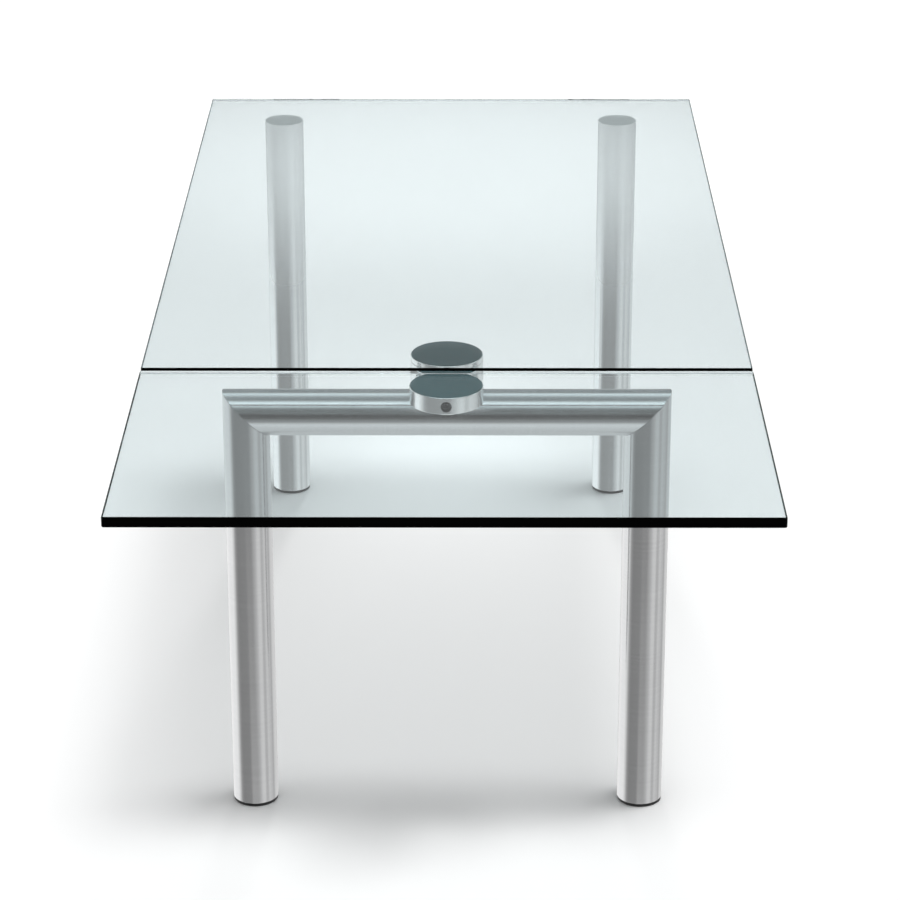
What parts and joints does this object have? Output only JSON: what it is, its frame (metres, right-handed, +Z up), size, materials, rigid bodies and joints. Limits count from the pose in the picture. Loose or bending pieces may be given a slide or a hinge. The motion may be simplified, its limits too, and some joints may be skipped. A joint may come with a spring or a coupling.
{
  "type": "extendable dining table",
  "caption": "Long glass dining table on round steel legs, with a glass leaf carried on a round hub at one end.",
  "frame": {"origin": "on the floor, under the middle of the extended table", "axes": "+Z up, -Y towards the leaf, +X to the right of someone facing the leaf's end"},
  "size_m": [0.9, 2, 0.75],
  "materials": {
    "clear_glass": "polished",
    "satin_tube": "satin",
    "turned_steel": "turned",
    "plain_steel": "machined",
    "screw_steel": "blackened",
    "bond_film": "cured adhesive",
    "clear_adhesive": "cured adhesive",
    "bronze": "machined",
    "foot_plastic": "matt"
  },
  "bodies": {
    "table": {"main_top_glass": "clear_glass", "rear_leg_left": "satin_tube", "rear_leg_right": "satin_tube", "rear_leg_cap_left": "turned_steel", "rear_leg_cap_right": "turned_steel", "rear_bond_film_left": "clear_adhesive", "rear_bond_film_right": "clear_adhesive", "portal_leg_left": "satin_tube", "portal_leg_right": "satin_tube", "portal_crossbar": "satin_tube", "crossbar_core": "plain_steel", "rear_foot_plug_left": "plain_steel", "rear_foot_plug_right": "plain_steel", "portal_foot_plug_left": "plain_steel", "portal_foot_plug_right": "plain_steel", "rear_foot_pad_left": "foot_plastic", "rear_foot_pad_right": "foot_plastic", "portal_foot_pad_left": "foot_plastic", "portal_foot_pad_right": "foot_plastic", "main_hub_bond_film": "bond_film", "main_hub_flange": "turned_steel", "flange_screws": "screw_steel", "hub_spindle": "turned_steel", "spindle_bolt": "screw_steel"},
    "leaf_arm": {"swing_arm": "turned_steel", "collar_bush_upper": "bronze", "collar_bush_lower": "bronze", "clamp_pad": "bronze", "clamp_screw": "screw_steel", "arm_spigot": "turned_steel", "spigot_screw": "screw_steel"},
    "leaf": {"leaf_glass": "clear_glass", "leaf_hub_bond_film": "bond_film", "leaf_hub": "turned_steel"},
    "leaf_screw": {"leaf_set_screw": "screw_steel"}
  },
  "joints": [
    {"name": "leaf_drop", "type": "slide", "parent": "table", "child": "leaf_arm", "axis": [0, 0, 1], "range_m": [-0.0175, 0]},
    {"name": "leaf_lift_off", "type": "slide", "parent": "leaf_arm", "child": "leaf", "axis": [0, 0, 1], "range_m": [0, 0.045]},
    {"name": "leaf_set_screw_turn", "type": "hinge", "parent": "leaf", "child": "leaf_screw", "pos_m": [0, -0.53, 0.7205], "axis": [0, 1, 0], "continuous": true}
  ]
}
